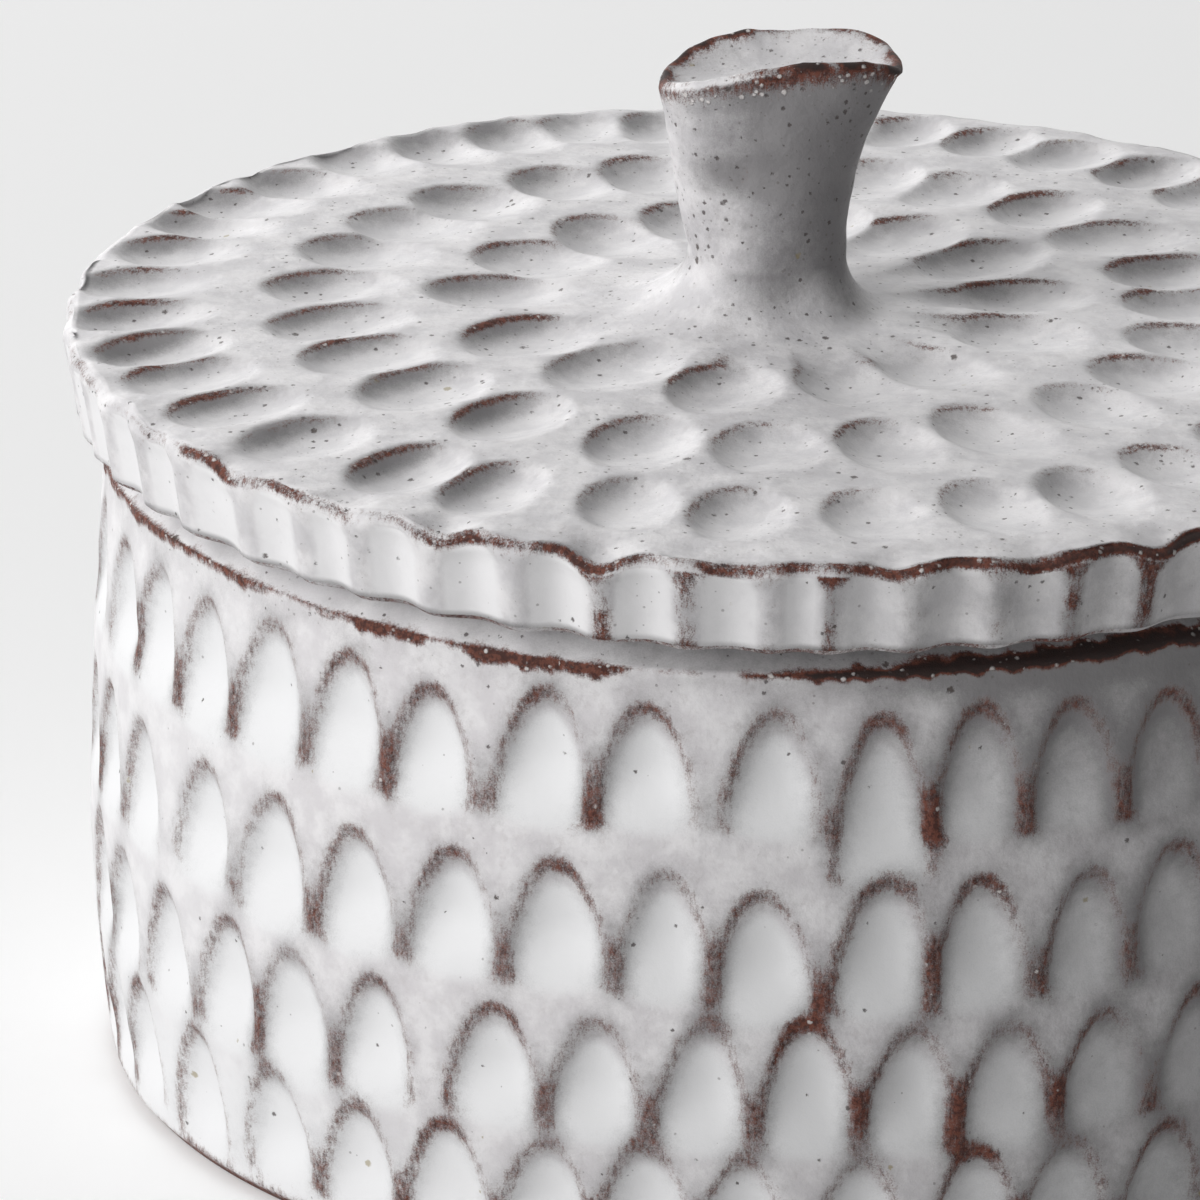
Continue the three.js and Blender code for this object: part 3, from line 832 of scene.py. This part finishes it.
def lid_top_glaze(layers, x, y):
    """Brown and grey on the crests before a scoop's steep side, grey inside that side from thin glaze and
    painted shade, stronger on the left half, and white where glaze pools in it.
    """
    here = layers["depth"](x, y)
    crest = np.clip(layers["wide"](x, y) - here, 0, 1)
    ahead = layers["depth"](x - STEEP_SIDE[0] * 0.9, y - STEEP_SIDE[1] * 0.9) - here
    further = layers["mild"](x - STEEP_SIDE[0] * 1.1, y - STEEP_SIDE[1] * 1.1) - layers["mild"](x, y)
    patches = 0.95 + 0.4 * cloud(x, y, 0, 11, 37) + 0.3 * cloud(x, y, 0, 3, 39)
    worn = 1.35 * np.clip(ahead / 0.9, 0, 1) * smooth(0.9, 0.1, here) + 0.25 * crest
    worn = worn * np.clip(patches, 0.3, 1.2)
    # Painted shade, partly thin glaze: grey on each scoop's steep side, which faces away from the light,
    # half again as strong on the left.
    grey = 0.9 * np.clip(further / 0.8, 0, 1) + 0.3 * crest + 0.12 * cloud(x, y, 0, 6, 45)
    grey = grey * (1 + 0.5 * smooth(0, -45, x))
    return worn, grey, 0.45 * layers["fill"](x, y)


def lid_top(skin, layers, edge):
    """The lid's upper side, from the knob's foot out to the edge."""
    for r in [*np.linspace(20.5, 72.6, LID_ROWS), 73.3, 73.9]:
        shift = 1 - smooth(20, 42, r)
        centre = (KNOB_CENTRE[0] * shift, KNOB_CENTRE[1] * shift)
        ring = edge.ring(r - edge.fluted(0) * smooth(70, 74.6, r), 0, centre)
        x, y = ring[:, 0], ring[:, 1]
        lumps = 0.22 * cloud(x, y, 0, 12, 31) + 0.1 * cloud(x, y, 0, 4, 33)
        lumps = lumps + 0.04 * cloud(x, y, 0, 1.6, 34) + 0.14 * cloud(x, y, 0, 2.2, 48) * smooth(66, 72, r)
        ring[:, 2] = lid_height(x, y) - layers["depth"](x, y) + lumps * smooth(18, 26, r)
        worn, grey, pooled = lid_top_glaze(layers, x, y)
        bare = smooth(72.9, 74.2, r) * edge_wear(x, y, edge.angle)
        worn = worn * smooth(74, 72, r) + 0.7 * bare
        skin.add(ring, worn, grey + 0.5 * bare, pooled * smooth(74.5, 72, r), 0.4)


def lid_corner(skin, edge):
    """The worn and lumpy corner between the lid's upper side and its edge."""
    for inward, down, bare in LID_CORNER_RINGS:
        worn = bare * edge_wear(edge.x, edge.y + 3 * down, edge.angle)
        inset = inward + 0.2 * (1 + cloud(edge.x, edge.y, down, 2.2, 47))
        ring = edge.ring(LID_RADIUS - inset - edge.fluted(down), edge.top - down)
        skin.add(ring, worn, 0.6 * worn, 0.1, 0.4)


def lid_side(skin, edge):
    """The lid's fluted edge, brown on its front ridges, with painted shade on its right."""
    x, y = edge.x, edge.y
    turn = from_front(edge.angle)
    brown_side = 0.15 + 0.75 * smooth(-32, -8, turn) * smooth(150, 60, turn)
    # Painted shade: the right side of the edge is made greyer and its flutes less white.
    painted_shade_right = smooth(-12, 18, turn) * smooth(110, 60, turn)
    ridges = 0.45 + 0.55 * edge.ridge_wear
    for part in np.linspace(0.13, 0.93, 12):
        z = edge.top * (1 - part) + SEAT_HEIGHT * part
        scooped = flute_hollow(edge.away, edge.top - z)
        near = smooth(0.35, 0, scooped)
        worn = brown_side * (0.3 + 0.7 * edge.ridge_wear) * near * (0.8 + 0.5 * cloud(x, y, z, 2, 53))
        worn = worn + 0.25 * smooth(0.3, 0.13, part)
        worn = worn + 0.5 * smooth(0.88, 0.95, part) * (0.5 + 0.8 * cloud(x, y, 0, 4, 55))
        grey = (0.25 + 0.35 * brown_side) * near * ridges + 0.15 * cloud(x, y, z, 4, 57)
        grey = grey + 0.3 * smooth(0.85, 0.95, part) + 0.3 * painted_shade_right
        pooled = 0.85 * (1 - 0.6 * painted_shade_right) * smooth(0.03, 0.5, scooped)
        out = LID_RADIUS - edge.flute * scooped - LID_UNDERCUT * part + 0.1 * cloud(x, y, z, 3.5, 51)
        skin.add(edge.ring(out, z), worn, grey, pooled, 0.2)


def lid_under(skin, edge):
    """The lid's uneven lower edge and its flat underside."""
    low = LID_RADIUS - LID_UNDERCUT - edge.fluted(LID_EDGE)
    worn = 0.6 + 0.55 * cloud(edge.x, edge.y, 0, 4, 55)
    for inward, up in ((0.05, 0.45), (0.3, 0.12), (0.8, 0)):
        ragged = 0.4 * (1 + cloud(edge.x, edge.y, 0, 4.5, 58)) * smooth(0.85, 0, inward)
        skin.add(edge.ring(low - inward, SEAT_HEIGHT + up + ragged), worn, 0.4, 0.1, 0.4)
    for radius in (69, 64, 56, 40, 22, 8):
        skin.add(edge.ring(radius, SEAT_HEIGHT), 0, 0.1, 0.2, 0.2)


def make_lid():
    """The lid and its knob in one closed surface, from the knob's dish out and round to the underside."""
    skin = Skin()
    layers = lid_layers()
    edge = LidEdge(layers)
    knob_top(skin)
    knob_side(skin)
    knob_foot(skin)
    lid_top(skin, layers, edge)
    lid_corner(skin, edge)
    lid_side(skin, edge)
    lid_under(skin, edge)
    return skin.piece("lid_body", (*KNOB_CENTRE, KNOB_SEAT + DISH_FLOOR), (0, 0, SEAT_HEIGHT), 0.1)


def make_ring():
    """The ring under the lid that keeps it in the pot's mouth."""
    sines, cosines = directions(RING_AROUND)
    outer = MOUTH_RADIUS - MOUTH_CLEARANCE
    inner = outer - RING_WIDTH
    low = SEAT_HEIGHT - RING_DEPTH
    outline = [(inner, SEAT_HEIGHT), (inner, low + 0.6), (inner + 0.2, low + 0.15), (inner + 0.7, low),
               (outer - RING_CHAMFER, low), (outer - 0.3, low + 0.35), (outer, low + RING_CHAMFER),
               (outer, SEAT_HEIGHT)]
    points = np.vstack([ring_of(r, z, sines, cosines) for r, z in outline])
    faces = []
    for row in range(len(outline)):
        following = (row + 1) % len(outline)
        faces.extend(bridge(RING_AROUND, following * RING_AROUND, row * RING_AROUND))
    return new_piece("lid_ring", points, faces)


# Materials.

def colour(text):
    """A six-digit screen colour as the numbers a shader takes."""
    parts = [int(text[i:i + 2], 16) / 255 for i in (0, 2, 4)]
    return [p / 12.92 if p <= 0.04045 else ((p + 0.055) / 1.055) ** 2.4 for p in parts] + [1]


def seen_directly(tree):
    """1 for rays from the camera, also by way of a glossy or clear surface, and 0 for the others."""
    rays = tree.nodes.new("ShaderNodeLightPath")
    seen = rays.outputs["Is Camera Ray"]
    for name in ("Is Glossy Ray", "Is Transmission Ray"):
        either = tree.nodes.new("ShaderNodeMath")
        either.operation = "MAXIMUM"
        tree.links.new(seen, either.inputs[0])
        tree.links.new(rays.outputs[name], either.inputs[1])
        seen = either.outputs[0]
    return seen


class Recipe:
    """A material under construction, with short calls for its nodes."""

    def __init__(self, name):
        self.material = bpy.data.materials.new(name)
        self.material.use_nodes = True
        self.tree = self.material.node_tree
        self.shader = self.tree.nodes["Principled BSDF"]
        self.place = self.tree.nodes.new("ShaderNodeTexCoord").outputs["Object"]

    def set(self, socket, value):
        """Gives a socket a number, a colour or another node's output."""
        if isinstance(value, bpy.types.NodeSocket):
            self.tree.links.new(value, socket)
        else:
            socket.default_value = value

    def node(self, kind, inputs, operation=None):
        """A new node with values for some of its inputs, by their names or places."""
        node = self.tree.nodes.new("ShaderNode" + kind)
        if operation:
            node.operation = operation
        for key, value in inputs.items():
            self.set(node.inputs[key], value)
        return node

    def math(self, operation, *values):
        """The result of a math node."""
        return self.node("Math", dict(enumerate(values)), operation).outputs[0]

    def vector(self, operation, *values):
        """The result of a vector math node."""
        return self.node("VectorMath", dict(enumerate(values)), operation).outputs[0]

    def plus(self, first, *others):
        """The sum of two or more values."""
        for other in others:
            first = self.math("ADD", first, other)
        return first

    def times(self, first, *others):
        """The product of two or more values."""
        for other in others:
            first = self.math("MULTIPLY", first, other)
        return first

    def around(self, value, amount):
        """A noise moved to mean 0 and made that much stronger or weaker."""
        return self.times(self.math("SUBTRACT", value, 0.5), amount)

    def step(self, value, low, high, start=0, end=1):
        """Rises softly from start to end while the value goes from low to high."""
        span = {"From Min": low, "From Max": high, "To Min": start, "To Max": end}
        node = self.node("MapRange", {"Value": value, **span})
        node.interpolation_type = "SMOOTHSTEP"
        return node.outputs["Result"]

    def blend(self, part, first, second):
        """The first colour where part is 0 and the second where it is 1."""
        node = self.tree.nodes.new("ShaderNodeMix")
        node.data_type = "RGBA"
        inputs = [socket for socket in node.inputs if socket.type == "RGBA"]
        self.set(node.inputs["Factor"], part)
        self.set(inputs[0], first)
        self.set(inputs[1], second)
        return next(socket for socket in node.outputs if socket.type == "RGBA")

    def noise(self, size, detail=3, roughness=0.55, stretch=(1, 1, 1)):
        """Irregular cloud with lumps of about that size in mm, mean 0.5."""
        place = self.vector("MULTIPLY", self.place, stretch)
        lumps = {"Scale": 1 / (size * MM), "Detail": detail, "Roughness": roughness}
        return self.node("TexNoise", {"Vector": place, **lumps}).outputs["Fac"]

    def bent_place(self, size, amount):
        """The place moved about by up to that many mm, in lumps of about that size in mm."""
        node = self.node("TexNoise", {"Vector": self.place, "Scale": 1 / (size * MM)})
        return self.vector("MULTIPLY_ADD", node.outputs["Color"], (amount * MM,) * 3, self.place)

    def dots(self, cell, radius, share, bend=0):
        """Specks in cells of that size in mm: 1 inside the share of cells that have one."""
        place = self.bent_place(radius / 1.6, bend) if bend else self.place
        cells = self.node("TexVoronoi", {"Vector": place, "Scale": 1 / (cell * MM)})
        chance = self.node("SeparateColor", {0: cells.outputs["Color"]})
        big = self.step(chance.outputs[1], 0, 1, radius * 0.4 / cell, radius / cell)
        inside = self.step(self.math("DIVIDE", cells.outputs["Distance"], big), 1.15, 0.6)
        return self.times(inside, self.math("LESS_THAN", chance.outputs[0], share))

    def mark(self, name):
        """One of the values that the mesh's points carry."""
        node = self.node("Attribute", {})
        node.attribute_name = name
        return node.outputs["Fac"]

    def bumps(self, height):
        """The slope that bumps of that height in mm give the surface."""
        return self.node("Bump", {"Strength": 1, "Distance": MM, "Height": height}).outputs["Normal"]

    def finish(self, base, roughness, specular, others):
        """The finished material, from its colour, roughness, gloss and other inputs of its shader."""
        looks = {"Base Color": base, "Roughness": roughness, "Specular IOR Level": specular, **others}
        for name, value in looks.items():
            self.set(self.shader.inputs[name], value)
        return self.material


def white_glaze(mix, white, marks, clouds):
    """The glaze's colour without clay: patchy in the field, white where it pools and where light is painted,
    grey where the glaze is thinned and where shade is painted.
    """
    first, second = white["field"]
    base = mix.blend(mix.step(clouds["broad"], 0.36, 0.64), colour(first), colour(second))
    base = mix.blend(mix.step(clouds["patchy"], 0.5, 0.75, 0, 0.3), base, colour(white["dull"]))
    thick = mix.plus(marks["pool_and_light"], mix.around(clouds["patchy"], 0.5))
    base = mix.blend(mix.step(thick, 0.15, 0.95), base, colour(white["pooled"]))
    grey = mix.plus(marks["thin_and_shade"], mix.around(clouds["patchy"], 0.4), mix.around(clouds["grain"], 0.35))
    return mix.blend(mix.step(grey, 0.08, 1.1, 0, 0.85), base, colour(GREY_GLAZE_AND_SHADE))


def clay_shade(mix, wear):
    """The colour of the clay where it shows: faint at its edge, brown, and near black where it is most bare,
    which on the rim's right also paints the lid's shadow.
    """
    shade = mix.blend(mix.step(mix.noise(0.6, 3, 0.7), 0.4, 0.6), *map(colour, CLAY_BROWN))
    shade = mix.blend(mix.step(wear, 0.2, 0.9), colour(CLAY_FAINT), shade)
    return mix.blend(mix.step(wear, 1.05, 1.7, 0, 0.95), shade, colour(CLAY_DARKEST_AND_SHADOW))


def glaze_bubbles(mix, marks, broad):
    """Burst bubbles: most where clay or specks show, and none where the clay is darkest."""
    near_clay = mix.step(mix.plus(marks["wear"], mix.around(broad, 1.5)), 0.6, 1)
    bubbly = mix.math("MAXIMUM", near_clay, mix.step(marks["speck"], 1.15, 1.6))
    bubbles = mix.dots(0.8, 0.32, mix.step(marks["speck"], 0, 1, 0.1, 0.6), 0.2)
    return mix.times(bubbles, bubbly, mix.step(marks["wear"], 2.2, 1.6))


def glaze(name, white, grit):
    """White glaze over brown clay: thick and white in hollows, thinned and brown on crests, with specks, and
    with the painted light and shade that the mesh's values carry.
    """
    mix = Recipe(name)
    marks = {key: mix.mark(key) for key in MARKS}
    broad = mix.noise(4.5, 4, 0.6)
    patchy = mix.noise(1.3, 4, 0.65)
    grain = mix.noise(0.17, 2, 0.7)
    streak = mix.noise(0.4, 2, 0.6, (1, 1, 0.3))
    base = white_glaze(mix, white, marks, {"broad": broad, "patchy": patchy, "grain": grain})
    broken = mix.plus(mix.around(grain, grit), mix.around(patchy, 0.6), mix.around(streak, grit))
    brown = mix.step(mix.plus(marks["wear"], broken), 0.38, 1.12)
    base = mix.blend(brown, base, clay_shade(mix, marks["wear"]))
    bubbles = glaze_bubbles(mix, marks, broad)
    base = mix.blend(mix.times(bubbles, 0.8), base, colour(BUBBLE_WHITE))
    specks = {}
    for kind, look in SPECKS.items():
        share = mix.times(marks["speck"], look["share"])
        specks[kind] = mix.dots(look["cell"], look["radius"], share, look["bend"])
        base = mix.blend(mix.times(specks[kind], look["strength"]), base, colour(look["colour"]))
    base = mix.blend(mix.times(mix.dots(6, 0.45, 0.35, 0.5), 0.65), base, colour(OCHRE))
    ripples = mix.times(mix.noise(0.9, 3, 0.55), mix.step(marks["pool_and_light"], 0.2, 0.8, 0.1, 0.03))
    grit_height = mix.times(grain, mix.step(brown, 0, 1, 0.01, 0.1))
    pits = mix.times(mix.plus(specks["fine"], specks["large"]), -0.06)
    height = mix.plus(ripples, grit_height, mix.times(bubbles, 0.12), pits)
    return mix.finish(base, mix.step(brown, 0, 1, 0.5, 0.75), 0.4, {"Normal": mix.bumps(height)})


def bare_clay():
    """Unglazed brown clay with fine grit."""
    mix = Recipe("bare_clay")
    base = mix.blend(mix.step(mix.noise(5, 4), 0.35, 0.65), *map(colour, CLAY_BARE))
    base = mix.blend(mix.dots(1.1, 0.2, 0.3), base, colour(CLAY_GRIT))
    height = mix.times(mix.noise(0.4, 4, 0.6), 0.15)
    return mix.finish(base, 0.85, 0.5, {"Normal": mix.bumps(height)})


def floor_paper():
    """Plain pale floor that looks a little brighter to the camera than the light it throws back."""
    mix = Recipe("floor_paper")
    glow = mix.times(seen_directly(mix.tree), FLOOR_GLOW)
    shine = {"Emission Color": (1, 1, 1, 1), "Emission Strength": glow}
    return mix.finish(colour(FLOOR_COLOUR), 0.9, 0.1, shine)


# Camera, light and floor.

def turned(first, second, degrees):
    """Two directions at right angles, turned in their own plane from the first towards the second."""
    cosine, sine = math.cos(math.radians(degrees)), math.sin(math.radians(degrees))
    return first * cosine + second * sine, second * cosine - first * sine


def add_camera():
    """The camera at the photograph's viewing angle, turned a little off the lid's middle."""
    rise = math.radians(CAMERA_RISE)
    offset = Vector((0, -math.cos(rise), math.sin(rise))) * CAMERA_DISTANCE
    ahead = -offset.normalized()
    right = ahead.cross(Vector((0, 0, 1))).normalized()
    up = right.cross(ahead)
    ahead, right = turned(ahead, right, CAMERA_YAW)
    ahead, up = turned(ahead, up, CAMERA_PITCH)
    right, up = turned(right, up, CAMERA_ROLL)
    data = bpy.data.cameras.new("camera")
    data.sensor_width = SENSOR_WIDTH
    data.lens = FOCAL_PIXELS / PHOTO_WIDTH * SENSOR_WIDTH
    data.clip_end = 20
    camera = bpy.data.objects.new("camera", data)
    place = (offset + Vector((0, 0, LID_EDGE_TOP))) * MM
    columns = Matrix((right, up, -ahead)).transposed().to_4x4()
    camera.matrix_world = Matrix.Translation(place) @ columns
    bpy.context.scene.collection.objects.link(camera)
    bpy.context.scene.camera = camera


def add_lamp(azimuth, rise, watts):
    """A square soft lamp aimed at the object, from that many degrees round from the front and up."""
    turn, lift = math.radians(azimuth), math.radians(rise)
    away = Vector((math.sin(turn) * math.cos(lift), -math.cos(turn) * math.cos(lift), math.sin(lift)))
    data = bpy.data.lights.new("lamp", "AREA")
    data.shape = "SQUARE"
    data.size = LAMP_SIZE
    data.energy = watts
    lamp = bpy.data.objects.new("lamp", data)
    lamp.location = Vector(LAMP_TARGET) + away * LAMP_DISTANCE
    lamp.rotation_euler = (-away).to_track_quat("-Z", "Y").to_euler()
    bpy.context.scene.collection.objects.link(lamp)


def add_world():
    """An even surround that is pale to the camera and gives the object only a little light."""
    world = bpy.data.worlds.new("surround")
    world.use_nodes = True
    tree = world.node_tree
    background = tree.nodes["Background"]
    background.inputs["Color"].default_value = (1, 1, 1, 1)
    strength = tree.nodes.new("ShaderNodeMapRange")
    strength.inputs["To Min"].default_value = WORLD
    strength.inputs["To Max"].default_value = BACKDROP
    tree.links.new(seen_directly(tree), strength.inputs["Value"])
    tree.links.new(strength.outputs["Result"], background.inputs["Strength"])
    bpy.context.scene.world = world


def add_floor():
    """A plain pale floor, wide enough to fill the view."""
    corners = [(x * FLOOR_REACH, y * FLOOR_REACH, 0) for x, y in ((-1, -1), (1, -1), (1, 1), (-1, 1))]
    floor = new_piece("floor", corners, [(0, 1, 2, 3)])
    floor.data.materials.append(floor_paper())


pot = make_pot()
pot.data.materials.append(glaze("pot_glaze", POT_WHITE, POT_GRIT))
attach(pot, "pot")
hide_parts("pot_wall", "floor_slab")

lid = make_lid()
lid.data.materials.append(glaze("lid_glaze", LID_WHITE, LID_GRIT))
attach(lid, "lid")
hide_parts("lid_plate", "knob")

lid_ring = make_ring()
lid_ring.data.materials.append(bare_clay())
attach(lid_ring, "lid")
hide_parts("locating_ring")

add_floor()
add_camera()
add_world()
for azimuth, rise, watts in LAMPS:
    add_lamp(azimuth, rise, watts)
bpy.context.scene.view_settings.view_transform = "Standard"
